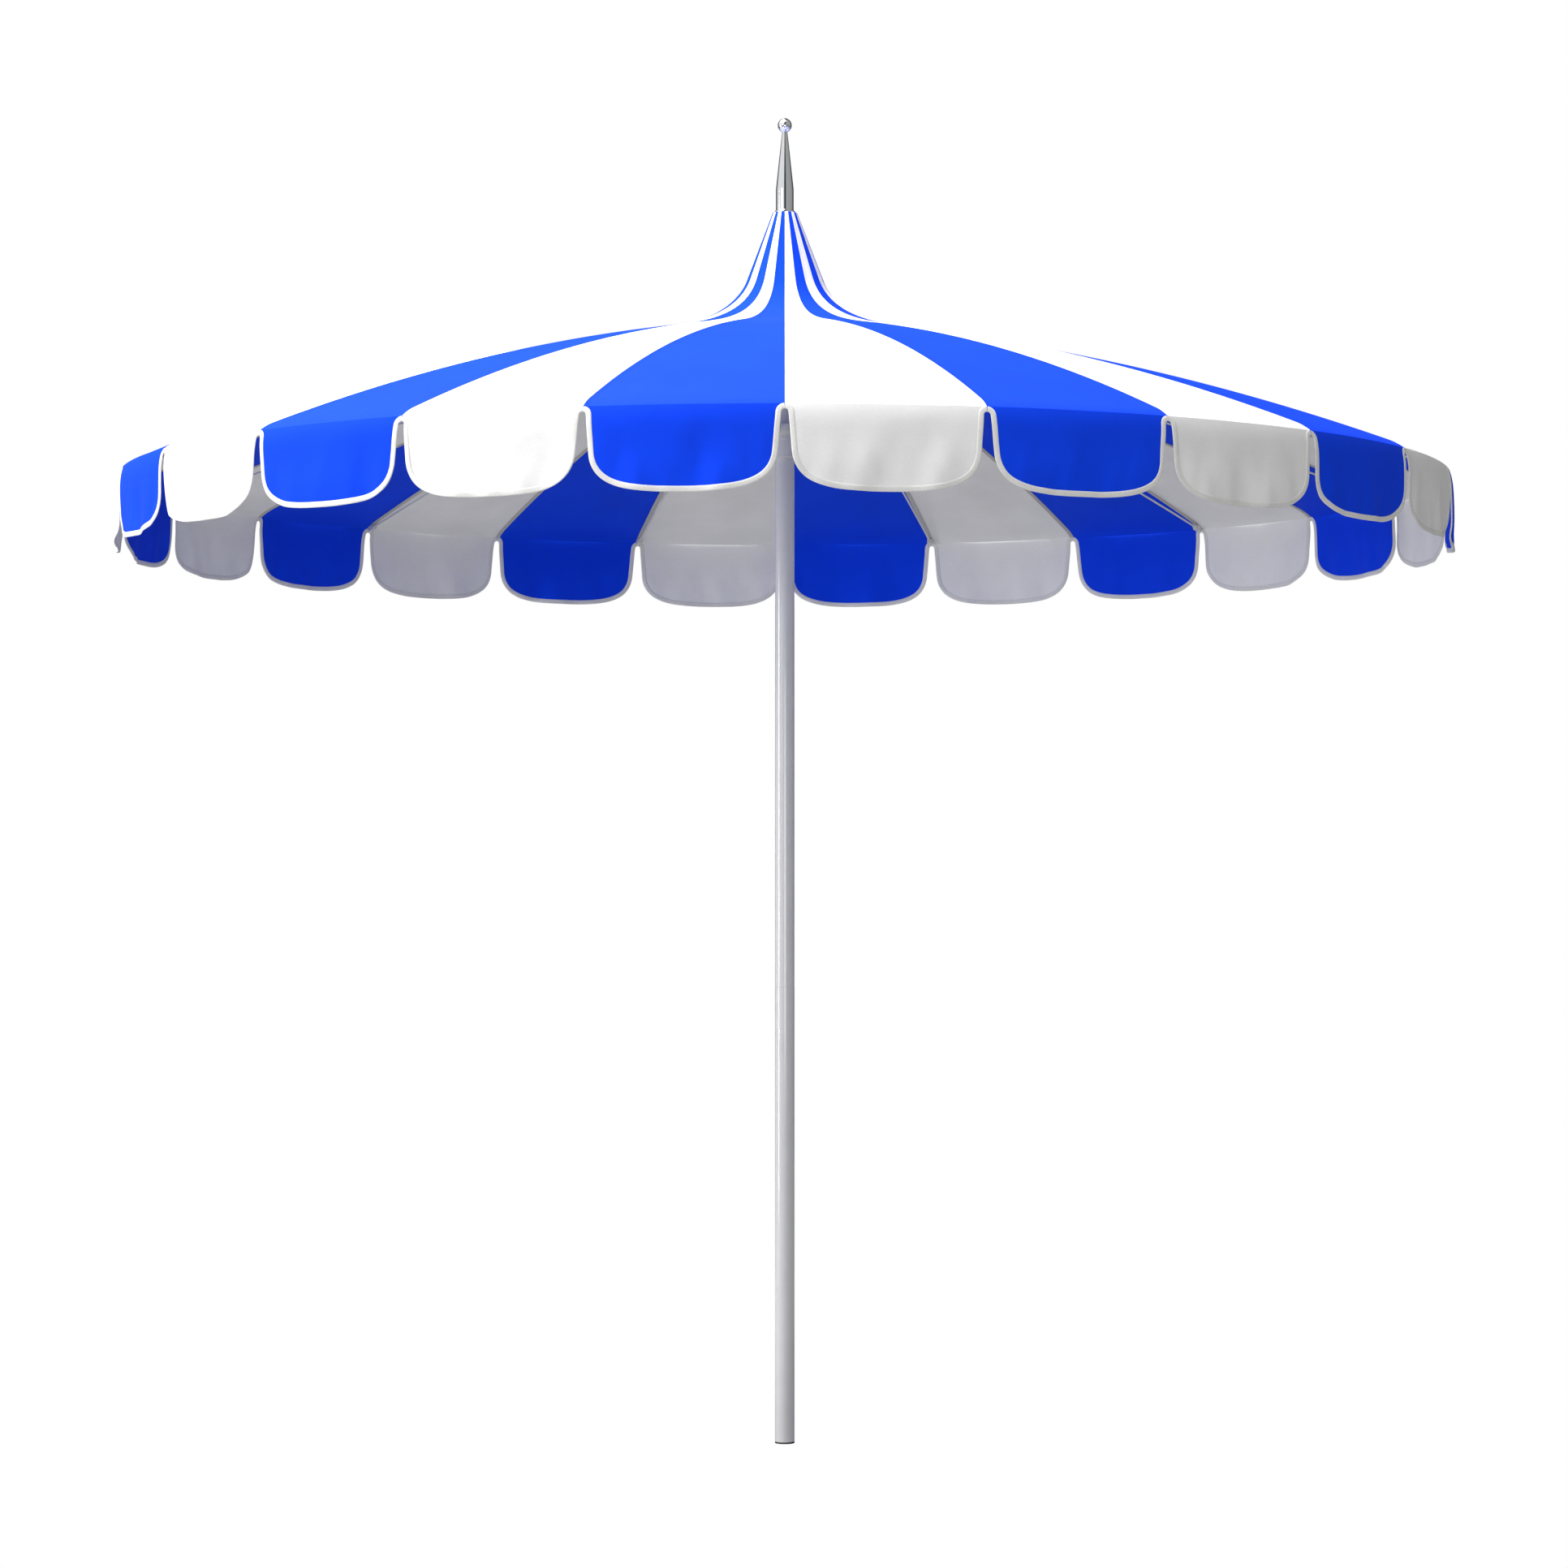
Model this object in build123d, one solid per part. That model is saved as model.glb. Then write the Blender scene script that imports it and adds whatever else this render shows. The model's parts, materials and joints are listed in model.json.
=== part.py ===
from build123d import *
import math
import os

# Beach umbrella with a tall pagoda neck, modelled in millimetres.
# The origin is the centre of the pole's foot and +Z runs up the pole.
# The canopy has 24 gores that alternate white and blue. A rib lies under every other seam.
# Angle 0 looks along -Y, and angles grow towards +X. Each rib set is drawn in the XZ plane,
# with +X outward, and then turned to its place.

# ---- driving dimensions ----
RIB_COUNT = 12
RIB_STEP = 360 / RIB_COUNT
FIRST_RIB_ANGLE = 15.0
GORE_ANGLE = RIB_STEP / 2

POLE_R = 19.05
UPPER_POLE_R = 18.85
POLE_WALL = 1.2
POLE_TOP = 2404.0
POLE_SPLIT = 892.0
FIT_GAP = 0.05

CANOPY_R = 1290.0
FABRIC = 1.2
NECK_TOP_R = 24.0
NECK_BASE_R, NECK_BASE_Z = 76.0, 2270.0
BEND_END_R = 300.0
DOME_RADIUS = 5200.0
DOME_CENTRE_R, DOME_CENTRE_Z = -614.0, -2964.0
BEND_UPPER_HANDLE, BEND_LOWER_HANDLE = 73.0, 114.0
PANEL_GAP = 0.3
SECTOR_R = 1283.0

VALANCE_BOTTOM_Z = 1730.0
NOTCH_TOP_Z = 1865.0
NOTCH_HALF = 7.0
SCALLOP_CORNER = 70.0
HEM_R, HEM_Z = 1285.0, 1875.5
HEM_ROLL_R, HEM_ROLL_LENGTH = 1.2, 24.0

PIVOT_R = 38.0
CROWN_Z = 2190.0
RIB_TIP_R, RIB_TIP_Z = 1285.0, 1868.0
RIB_BOW = 24.0
ROD_R = 2.0
STRUT_LENGTH = 450.0
STRUT_DROP = 13.5
STRUT_R = 3.0
EYE_R = 5.0
EYE_WIDTH = 5.0
PIN_R = 1.5
PIN_CLEARANCE = 0.4
SLOT_WIDTH = 7.5
SLOT_START_R = 30.0

# ---- places that follow from them ----
POLE_BORE_R = UPPER_POLE_R - POLE_WALL
RUNNER_Z = CROWN_Z - 2 * STRUT_LENGTH * math.sin(math.radians(STRUT_DROP))
STRUT_PIVOT_R = PIVOT_R + STRUT_LENGTH * math.cos(math.radians(STRUT_DROP))
STRUT_PIVOT_Z = CROWN_Z - STRUT_LENGTH * math.sin(math.radians(STRUT_DROP))


def dome_z(r, inset=0.0):
    """Height of the dome's outer face, or of a face inset from it, at radius r."""
    radius = DOME_RADIUS - inset
    return DOME_CENTRE_Z + math.sqrt(radius**2 - (r - DOME_CENTRE_R) ** 2)


def save(name, *solids):
    """Write one sub-part; its solids stay separate."""
    shape = solids[0] if len(solids) == 1 else Compound(children=list(solids))
    export_step(shape, f"parts/{name}.step")


def at_angle(shape, angle):
    """Turn a shape drawn in the XZ plane to its angle round the pole."""
    return Rot(0, 0, angle - 90) * shape


def ring(r_in, r_out, z0, z1):
    height = z1 - z0
    body = Cylinder(r_out, height, align=(Align.CENTER, Align.CENTER, Align.MIN))
    hole = Cylinder(r_in, height * 3)
    return Pos(0, 0, z0) * (body - hole)


def turned(points):
    """A solid of revolution from (r, z) points."""
    outline = make_face(Polyline(*[(r, z) for r, z in points], close=True))
    return revolve(Plane.XZ * outline, Axis.Z)


def across(r, z, radius, width):
    """A cylinder whose axis is the pivot line through (r, z)."""
    return Pos(r, 0, z) * Rot(90, 0, 0) * Cylinder(radius, width)


def bar(start, end, height, width):
    """A flat bar in the XZ plane from one point to another."""
    (r0, z0), (r1, z1) = start, end
    length = math.hypot(r1 - r0, z1 - z0)
    tilt = math.degrees(math.atan2(z0 - z1, r1 - r0))
    box = Box(length, width, height, align=(Align.MIN, Align.CENTER, Align.CENTER))
    return Pos(r0, 0, z0) * Rot(0, tilt, 0) * box


# ---- pole ----
def chamfered_tube(radius, z0, z1):
    edge = 0.5
    return turned(
        [
            (POLE_BORE_R, z0),
            (radius - edge, z0),
            (radius, z0 + edge),
            (radius, z1 - edge),
            (radius - edge, z1),
            (POLE_BORE_R, z1),
        ]
    )


def foot_plug():
    rim, depth = 3.0, 26.0
    stem_r = POLE_BORE_R - FIT_GAP
    return turned([(0, 0), (POLE_R, 0), (POLE_R, rim), (stem_r, rim), (stem_r, depth), (0, depth)])


def pole_sleeve():
    half, wall = 100.0, 1.4
    outer = POLE_BORE_R - FIT_GAP
    return ring(outer - wall, outer, POLE_SPLIT - half, POLE_SPLIT + half)


# ---- finial ----
FINIAL_BALL_R = 13.75
FINIAL_BALL_Z = POLE_TOP + 172.0
SPIRE_TOP_Z = FINIAL_BALL_Z - FINIAL_BALL_R + 1.0


def finial_spire():
    stem_r, stem_depth = POLE_BORE_R - FIT_GAP, 24.0
    flange_r, flange = 19.8, 4.0
    drum_r, drum_top = 17.4, POLE_TOP + 47.0
    tip_r = 5.35
    return turned(
        [
            (0, POLE_TOP - stem_depth),
            (stem_r, POLE_TOP - stem_depth),
            (stem_r, POLE_TOP),
            (flange_r, POLE_TOP),
            (flange_r, POLE_TOP + flange),
            (drum_r, POLE_TOP + flange + 1.5),
            (drum_r, drum_top),
            (tip_r, SPIRE_TOP_Z - 1.0),
            (tip_r, SPIRE_TOP_Z),
            (0, SPIRE_TOP_Z),
        ]
    )


def finial_ball():
    ball = Pos(0, 0, FINIAL_BALL_Z) * Sphere(FINIAL_BALL_R)
    seat = Pos(0, 0, SPIRE_TOP_Z) * Box(40, 40, 20, align=(Align.CENTER, Align.CENTER, Align.MAX))
    return ball - seat


# ---- crown and runner ----
def slotted_disc(z, height, outer_r):
    """A disc on the pole with one slot for each rib or strut."""
    disc = ring(UPPER_POLE_R + FIT_GAP, outer_r, z - height / 2, z + height / 2)
    slot = Pos(SLOT_START_R, 0, z) * Box(
        outer_r, SLOT_WIDTH, height * 2, align=(Align.MIN, Align.CENTER, Align.CENTER)
    )
    cuts = [at_angle(slot, FIRST_RIB_ANGLE + i * RIB_STEP) for i in range(RIB_COUNT)]
    return disc - cuts


def crown_hub():
    """The slotted disc that the ribs hang from, and the wire ring through their eyes."""
    height, outer_r, collar_r, collar = 14.0, 46.0, 27.0, 30.0
    disc = slotted_disc(CROWN_Z, height, outer_r)
    groove_r = PIN_R + FIT_GAP
    groove = Pos(0, 0, CROWN_Z) * Torus(PIVOT_R, groove_r)
    channel = ring(PIVOT_R - groove_r, PIVOT_R + groove_r, CROWN_Z, CROWN_Z + height)
    top = CROWN_Z + height / 2
    neck = ring(UPPER_POLE_R + FIT_GAP, collar_r, top - 1.0, top + collar)
    wire = Pos(0, 0, CROWN_Z) * Torus(PIVOT_R, PIN_R)
    return (disc - groove - channel) + neck, wire


RUNNER_BORE_R = UPPER_POLE_R + 0.35
RUNNER_SLEEVE_R = 25.0
GRIP_TOP_Z, GRIP_BOTTOM_Z = RUNNER_Z - 16.0, RUNNER_Z - 55.0


def runner_hub():
    """The sliding disc that the struts push from, with its own sleeve."""
    height, outer_r = 14.0, 45.0
    disc = slotted_disc(RUNNER_Z, height, outer_r)
    sleeve = ring(RUNNER_BORE_R, RUNNER_SLEEVE_R, GRIP_TOP_Z, RUNNER_Z + 12.0)
    bore = Pos(0, 0, RUNNER_Z) * Cylinder(RUNNER_BORE_R, 120)
    return disc + sleeve - bore


def runner_grip():
    """The hand grip below the disc, with finger grooves and the thumb screw's hole."""
    outer_r, groove, groove_half = 27.5, 1.2, 2.5
    body = ring(RUNNER_BORE_R, outer_r, GRIP_BOTTOM_Z, GRIP_TOP_Z)
    for z in (GRIP_TOP_Z - 6.0, GRIP_BOTTOM_Z + 6.0):
        body -= ring(outer_r - groove, outer_r + 5, z - groove_half, z + groove_half)
    hole = Rot(0, 90, 0) * Cylinder(
        SCREW_R + 0.3, 60, align=(Align.CENTER, Align.CENTER, Align.MIN)
    )
    return body - Pos(0, 0, KNOB_Z) * hole


SCREW_R = 3.0
KNOB_Z = (GRIP_TOP_Z + GRIP_BOTTOM_Z) / 2


def lock_knob():
    """The thumb screw that clamps the runner, on the +X side between two struts."""
    tip_r, head_start, head, head_r = UPPER_POLE_R + 0.5, 48.0, 9.0, 7.6
    flute_r, flutes = 2.2, 5
    along_x = Rot(0, 90, 0)
    base = (Align.CENTER, Align.CENTER, Align.MIN)
    screw = Pos(tip_r, 0, 0) * along_x * Cylinder(SCREW_R, head_start - tip_r + 1, align=base)
    knob = Pos(head_start, 0, 0) * along_x * Cylinder(head_r, head, align=base)
    for i in range(flutes):
        angle = math.radians(360 * i / flutes)
        y, z = (head_r + 0.8) * math.cos(angle), (head_r + 0.8) * math.sin(angle)
        knob -= Pos(head_start, y, z) * along_x * Cylinder(flute_r, head * 3)
    return Pos(0, 0, KNOB_Z) * (screw + knob)


# ---- ribs and struts ----
RIB_CHORD = math.hypot(RIB_TIP_R - PIVOT_R, CROWN_Z - RIB_TIP_Z)
RIB_ARC_RADIUS = (RIB_CHORD**2 / 4 + RIB_BOW**2) / (2 * RIB_BOW)
RIB_SLOPE = math.atan2(CROWN_Z - RIB_TIP_Z, RIB_TIP_R - PIVOT_R)


def rib_point(along):
    """(r, z) of the rib's centreline at a distance along its chord."""
    half = along - RIB_CHORD / 2
    rise = math.sqrt(RIB_ARC_RADIUS**2 - half**2) - (RIB_ARC_RADIUS - RIB_BOW)
    r = PIVOT_R + along * math.cos(RIB_SLOPE) + rise * math.sin(RIB_SLOPE)
    z = CROWN_Z - along * math.sin(RIB_SLOPE) + rise * math.cos(RIB_SLOPE)
    return r, z


def rod_along_rib(start, end, radius):
    """A round rod that follows the rib's arc between two distances along the chord."""
    points = [rib_point(s) for s in (start, (start + end) / 2, end)]
    path = ThreePointArc(*[(r, 0, z) for r, z in points])
    section = Plane(path @ 0, z_dir=path % 0) * Circle(radius)
    return sweep(section, path=path)


def rib():
    """The sprung rod, its crown eye, the strut bracket and the pocket tip."""
    rod_start, rod_end = 14.0, RIB_CHORD - 12.0
    rod = rod_along_rib(rod_start, rod_end, ROD_R)
    socket = rod_along_rib(rod_start - 1, rod_end + 1, ROD_R + FIT_GAP)

    # the crimp is wider than the disc's slot, so it starts beyond the swing past the disc's rim
    crimp_start, crimp_end, crimp_r = 11.5, 34.0, 4.4
    neck_end, neck_height = 12.5, 7.0
    eye = across(PIVOT_R, CROWN_Z, EYE_R, EYE_WIDTH)
    eye += bar((PIVOT_R, CROWN_Z), rib_point(neck_end), neck_height, EYE_WIDTH)
    eye += rod_along_rib(crimp_start, crimp_end, crimp_r)
    eye -= across(PIVOT_R, CROWN_Z, PIN_R + PIN_CLEARANCE, EYE_WIDTH * 2)
    eye -= socket

    strut_along = (STRUT_PIVOT_R - PIVOT_R) * math.cos(RIB_SLOPE) + (
        CROWN_Z - STRUT_PIVOT_Z
    ) * math.sin(RIB_SLOPE)
    seat_r, seat_z = rib_point(strut_along)
    ear_gap, ear, clamp_half, clamp_r = 5.8, 1.7, 6.0, 5.2
    bracket = rod_along_rib(strut_along - clamp_half, strut_along + clamp_half, clamp_r)
    for side in (-1, 1):
        y = side * (ear_gap + ear) / 2
        plate = bar((STRUT_PIVOT_R, STRUT_PIVOT_Z), (seat_r, seat_z), 2 * clamp_half, ear)
        bracket += Pos(0, y, 0) * (plate + across(STRUT_PIVOT_R, STRUT_PIVOT_Z, EYE_R + 1, ear))
    throat = bar((STRUT_PIVOT_R, STRUT_PIVOT_Z), (seat_r, seat_z), 40.0, ear_gap)
    bracket -= throat - rod_along_rib(strut_along - 20, strut_along + 20, clamp_r)
    bracket -= socket
    pin = across(STRUT_PIVOT_R, STRUT_PIVOT_Z, PIN_R, ear_gap + 2 * ear)

    tip_start, tip_end, tip_r = RIB_CHORD - 25.0, RIB_CHORD - 8.0, 4.6
    tip = rod_along_rib(tip_start, tip_end, tip_r)
    head_start, head_height, head_width = RIB_CHORD - 20.0, 10.0, 12.0
    tip += bar(rib_point(head_start), rib_point(tip_end), head_height, head_width)
    tip -= socket
    return rod, eye, bracket + pin, tip


def strut():
    """The stay from the runner disc up to the rib's bracket."""
    low, high = (PIVOT_R, RUNNER_Z), (STRUT_PIVOT_R, STRUT_PIVOT_Z)
    shank, overlap, eye_height = 16.0, 6.0, 6.6
    tilt = math.radians(STRUT_DROP)
    step_r, step_z = math.cos(tilt), math.sin(tilt)

    def point(along):
        return low[0] + along * step_r, low[1] + along * step_z

    rod_from, rod_to = shank - overlap, STRUT_LENGTH - shank + overlap
    start_r, start_z = point(rod_from)
    base = (Align.CENTER, Align.CENTER, Align.MIN)
    rod = Pos(start_r, 0, start_z) * Rot(0, 90 - STRUT_DROP, 0)
    stay = rod * Cylinder(STRUT_R, rod_to - rod_from, align=base)
    stay += across(*low, EYE_R, EYE_WIDTH) + bar(low, point(shank), eye_height, EYE_WIDTH)
    stay += across(*high, EYE_R, EYE_WIDTH)
    stay += bar(point(STRUT_LENGTH - shank), high, eye_height, EYE_WIDTH)
    stay -= across(*high, PIN_R + PIN_CLEARANCE, EYE_WIDTH * 2)
    rivet_r, rivet_width = 2.0, 6.0
    return stay + across(*low, rivet_r, rivet_width)


# ---- canopy ----
def sector_outline():
    """The half section of one canopy sector, from the neck seam to the edge fold."""
    steep = math.atan2(POLE_TOP - NECK_BASE_Z, NECK_BASE_R - NECK_TOP_R)
    edge_r = SECTOR_R
    slope = math.asin((BEND_END_R - DOME_CENTRE_R) / DOME_RADIUS)

    def face(inset):
        """The neck bend and the dome arc, inset into the cloth."""
        r0 = NECK_BASE_R - inset * math.sin(steep)
        z0 = NECK_BASE_Z - inset * math.cos(steep)
        r3 = DOME_CENTRE_R + (DOME_RADIUS - inset) * math.sin(slope)
        z3 = dome_z(r3, inset)
        r1, z1 = r0 + BEND_UPPER_HANDLE * math.cos(steep), z0 - BEND_UPPER_HANDLE * math.sin(steep)
        r2, z2 = r3 - BEND_LOWER_HANDLE * math.cos(slope), z3 + BEND_LOWER_HANDLE * math.sin(slope)
        mid = (r3 + edge_r) / 2
        end = (edge_r, dome_z(edge_r, inset))
        bend = Bezier((r0, z0), (r1, z1), (r2, z2), (r3, z3))
        return bend, ThreePointArc((r3, z3), (mid, dome_z(mid, inset)), end)

    outer_bend, outer_dome = face(0.0)
    inner_bend, inner_dome = face(FABRIC)
    ends = [Line(outer_bend @ 0, inner_bend @ 0), Line(outer_dome @ 1, inner_dome @ 1)]
    return Plane.XZ * make_face([outer_bend, outer_dome, inner_bend, inner_dome, *ends])


def gore_pair(outline, edge_r):
    """The white gore and the blue gore on either side of one rib's seam."""
    gap = math.degrees(PANEL_GAP / edge_r)
    gore = revolve(outline, Axis.Z, GORE_ANGLE - gap)
    blue = Rot(0, 0, gap / 2) * gore
    white = Rot(0, 0, -gap / 2 - (GORE_ANGLE - gap)) * gore
    return white, blue


def scallop_outline():
    """One scallop seen from outside: (across, up), with its seams at either end."""
    half = CANOPY_R * math.sin(math.radians(GORE_ANGLE / 2)) + 1.0
    top = dome_z(CANOPY_R)
    side, flare = half - 1.0 - NOTCH_HALF, 5.0
    corner = SCALLOP_CORNER
    shoulder = VALANCE_BOTTOM_Z + corner
    sag = 5.0
    right = [
        Line((0, top), (half, top)),
        Line((half, top), (half, NOTCH_TOP_Z)),
        Line((half, NOTCH_TOP_Z), (side, NOTCH_TOP_Z)),
        Line((side, NOTCH_TOP_Z), (side - flare, shoulder)),
        Bezier(
            (side - flare, shoulder),
            (side - flare - 3.0, VALANCE_BOTTOM_Z + sag),
            (side - flare - corner, VALANCE_BOTTOM_Z),
            (0, VALANCE_BOTTOM_Z),
        ),
    ]
    left = [edge.mirror(Plane.YZ) for edge in right]
    return make_face([*right, *left])


def valance():
    """The two scallops that hang from one rib's tip, and the rolled fold that they turn on."""
    middle = GORE_ANGLE / 2
    cutter = extrude(Plane.YZ * scallop_outline(), CANOPY_R * 1.1)
    top, lip_r = dome_z(CANOPY_R), HEM_R + HEM_ROLL_R + 0.2
    wall = Plane.XZ * make_face(
        Polyline(
            (CANOPY_R - FABRIC, VALANCE_BOTTOM_Z - 5),
            (CANOPY_R, VALANCE_BOTTOM_Z - 5),
            (CANOPY_R, top),
            (lip_r, top),
            (lip_r, top - FABRIC),
            (CANOPY_R - FABRIC, top - FABRIC),
            close=True,
        )
    )
    white, blue = gore_pair(wall, CANOPY_R)
    return (
        white & (Rot(0, 0, -middle) * cutter),
        blue & (Rot(0, 0, middle) * cutter),
        across(HEM_R, HEM_Z, HEM_ROLL_R, HEM_ROLL_LENGTH),
    )


def canopy_neck():
    """The steep cone of cloth between the finial and the ribs."""
    base_gap = 0.4
    slope = (NECK_BASE_R - NECK_TOP_R) / (POLE_TOP - NECK_BASE_Z)
    low_z = NECK_BASE_Z + base_gap
    low_r = NECK_BASE_R - base_gap * slope
    return turned(
        [
            (NECK_TOP_R, POLE_TOP),
            (low_r, low_z),
            (low_r - FABRIC, low_z),
            (NECK_TOP_R - FABRIC, POLE_TOP),
        ]
    )


def canopy_collar():
    """The ring that the neck's top is gathered on."""
    height = 10.0
    inner_r, outer_r = UPPER_POLE_R + FIT_GAP, NECK_TOP_R - FABRIC - 0.2
    return ring(inner_r, outer_r, POLE_TOP - height, POLE_TOP)


# ---- write the sub-parts ----
os.makedirs("parts", exist_ok=True)

save("foot_plug", foot_plug())
save("lower_pole", chamfered_tube(POLE_R, 3.0, POLE_SPLIT))
save("upper_pole", chamfered_tube(UPPER_POLE_R, POLE_SPLIT, POLE_TOP))
save("pole_sleeve", pole_sleeve())
save("finial_spire", finial_spire())
save("finial_ball", finial_ball())
save("crown_hub", *crown_hub())
save("canopy_neck", canopy_neck())
save("canopy_collar", canopy_collar())
save("runner_hub", runner_hub())
save("runner_grip", runner_grip())
save("lock_knob", lock_knob())

rib_solids, strut_solid = rib(), strut()
gores = gore_pair(sector_outline(), CANOPY_R)
valance_solids = valance()
for i in range(RIB_COUNT):
    angle = FIRST_RIB_ANGLE + i * RIB_STEP
    number = f"{i + 1:02d}"
    save(f"rib_{number}", *[at_angle(solid, angle) for solid in rib_solids])
    save(f"strut_{number}", at_angle(strut_solid, angle))
    save(f"canopy_sector_{number}", *[at_angle(gore, angle) for gore in gores])
    save(f"valance_{number}", *[at_angle(solid, angle) for solid in valance_solids])
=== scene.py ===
import json
import math

import bpy
import numpy as np
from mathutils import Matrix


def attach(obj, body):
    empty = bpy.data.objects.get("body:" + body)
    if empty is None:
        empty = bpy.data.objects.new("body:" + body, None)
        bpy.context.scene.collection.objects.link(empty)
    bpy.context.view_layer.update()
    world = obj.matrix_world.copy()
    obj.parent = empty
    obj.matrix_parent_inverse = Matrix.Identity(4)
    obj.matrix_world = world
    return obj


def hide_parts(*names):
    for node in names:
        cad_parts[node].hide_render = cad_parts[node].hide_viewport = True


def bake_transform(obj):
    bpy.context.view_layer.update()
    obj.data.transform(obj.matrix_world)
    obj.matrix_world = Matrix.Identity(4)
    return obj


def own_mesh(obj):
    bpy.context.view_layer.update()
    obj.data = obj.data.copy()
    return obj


# A pagoda beach umbrella: 24 gores of woven canvas on 12 ribs, with a bound and scalloped
# valance, a white pole and a chrome finial. Everything is in metres, +Z up.
# Angles are measured from -Y towards +X. "Radial" is away from the pole.

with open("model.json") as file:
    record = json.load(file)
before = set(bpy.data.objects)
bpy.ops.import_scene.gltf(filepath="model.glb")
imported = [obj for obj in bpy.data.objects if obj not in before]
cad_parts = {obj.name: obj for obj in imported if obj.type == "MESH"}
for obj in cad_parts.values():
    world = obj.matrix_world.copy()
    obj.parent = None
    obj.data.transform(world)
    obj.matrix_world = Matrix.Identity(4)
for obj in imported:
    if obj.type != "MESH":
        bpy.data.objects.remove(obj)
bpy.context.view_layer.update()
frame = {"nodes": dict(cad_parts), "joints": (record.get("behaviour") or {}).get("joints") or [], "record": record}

# ---------------------------------------------------------------- sizes
RIBS = 12
GORE = math.radians(180 / RIBS)  # one gore spans half the step between ribs
FIRST_RIB = GORE
CLOTH = 0.0011

NECK_TOP = (0.0240, 2.4040)
NECK_BASE = (0.0760, 2.2700)
BEND_END_R = 0.300
DOME_RADIUS = 5.200
DOME_CENTRE = (-0.614, -2.964)
BEND_HANDLES = (0.073, 0.114)
RIB_CLOTH_R = 0.100  # inside this radius the cloth belongs to the neck
FOLD_R = 1.2835  # outside this radius the cloth belongs to the valance
EDGE_R = 1.2900
ROLL_WIDTH, ROLL_DROP = 0.030, 0.0045  # the dome's edge turns down before the fold
PLEAT_GAP = 0.0016  # from the shut cloth to the plane midway to the next rib
SEAM_TAPE_HALF = 0.005
FLARE_HEIGHT, FLARE_POWER = 0.045, 2.5  # the valance leans out over this height before it hangs straight

SCALLOP_BOTTOM = 1.7300
NOTCH_TOP = 1.8650
NOTCH_HALF = 0.0070
SCALLOP_FLARE = 0.0050
SCALLOP_CORNER = 0.0700
BINDING = 0.0085

joints = {j["name"]: j for j in frame["joints"]}
crown = joints["rib_fold_01"]["pos_m"]
PIVOT_R, CROWN_Z = math.hypot(crown[0], crown[1]), crown[2]
TRAVEL = joints["runner_slide"]["range_m"][1]


def fold_angle():
    """How far the ribs have turned when the runner is at the end of its travel."""
    for coupling in frame["record"]["behaviour"]["couplings"]:
        if coupling["joint"] == "rib_fold_01":
            return coupling["ratio"] * TRAVEL
    raise ValueError("rib_fold_01 has no coupling")


FOLD = fold_angle()
FOLD_COS, FOLD_SIN = math.cos(FOLD), math.sin(FOLD)


# ---------------------------------------------------------------- camera and light
def look_at(obj, target):
    direction = np.array(target, float) - np.array(obj.location, float)
    flat = math.hypot(direction[0], direction[1])
    pitch = math.atan2(direction[2], flat)
    obj.rotation_euler = (math.pi / 2 + pitch, 0, math.atan2(-direction[0], direction[1]))


def make_camera():
    camera = bpy.data.objects.new("camera", bpy.data.cameras.new("camera"))
    bpy.context.scene.collection.objects.link(camera)
    camera.location = (-0.0015, -7.835, 1.055)
    camera.rotation_euler = (math.pi / 2, 0, 0)
    camera.data.sensor_width = 36
    camera.data.lens = 92.0
    camera.data.shift_y = 0.0761
    camera.data.clip_end = 100
    bpy.context.scene.camera = camera


def area_light(name, place, target, size, power):
    light = bpy.data.lights.new(name, "AREA")
    light.shape = "RECTANGLE"
    light.size, light.size_y = size
    light.energy = power
    obj = bpy.data.objects.new(name, light)
    bpy.context.scene.collection.objects.link(obj)
    obj.location = place
    look_at(obj, target)


# The room's brightness for a light ray: (place from far left 0 to far right 1, level).
ROOM = [(0.0, 0.98), (0.40, 0.92), (0.46, 0.04), (0.58, 0.04), (0.68, 0.46), (1.0, 0.40)]
ROOM_BEHIND = 0.10  # share of that light that is left behind the object
FADE_START, FADE_END = 0.1, 0.7  # where it fades, as the ray's direction along +Y
FLOOR_BOUNCE = 0.46  # the grey that the floor sends back up as light


def seen_directly(tree):
    """1 for what the camera sees straight on, 0 for light that reaches the object."""
    return tree.nodes.new("ShaderNodeLightPath").outputs["Is Camera Ray"]


def room_light(tree):
    """Brightness by direction: the ramp from left to right, faded out behind the object."""
    direction = tree.nodes.new("ShaderNodeSeparateXYZ")
    place = tree.nodes.new("ShaderNodeNewGeometry").outputs["Position"]
    tree.links.new(place, direction.inputs[0])
    share = tree.nodes.new("ShaderNodeMapRange")
    share.inputs["From Min"].default_value = -1.0
    tree.links.new(direction.outputs["X"], share.inputs["Value"])
    ramp = tree.nodes.new("ShaderNodeValToRGB")
    stops = ramp.color_ramp.elements
    while len(stops) < len(ROOM):
        stops.new(0.5)
    for stop, (position, level) in zip(stops, ROOM):
        stop.position = position
        stop.color = (level, level, level, 1)
    tree.links.new(share.outputs["Result"], ramp.inputs[0])
    fade = tree.nodes.new("ShaderNodeMapRange")
    fade.inputs["From Min"].default_value = FADE_START
    fade.inputs["From Max"].default_value = FADE_END
    fade.inputs["To Min"].default_value = 1.0
    fade.inputs["To Max"].default_value = ROOM_BEHIND
    tree.links.new(direction.outputs["Y"], fade.inputs["Value"])
    product = tree.nodes.new("ShaderNodeMath")
    product.operation = "MULTIPLY"
    tree.links.new(ramp.outputs[0], product.inputs[0])
    tree.links.new(fade.outputs["Result"], product.inputs[1])
    return product.outputs[0]


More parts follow.
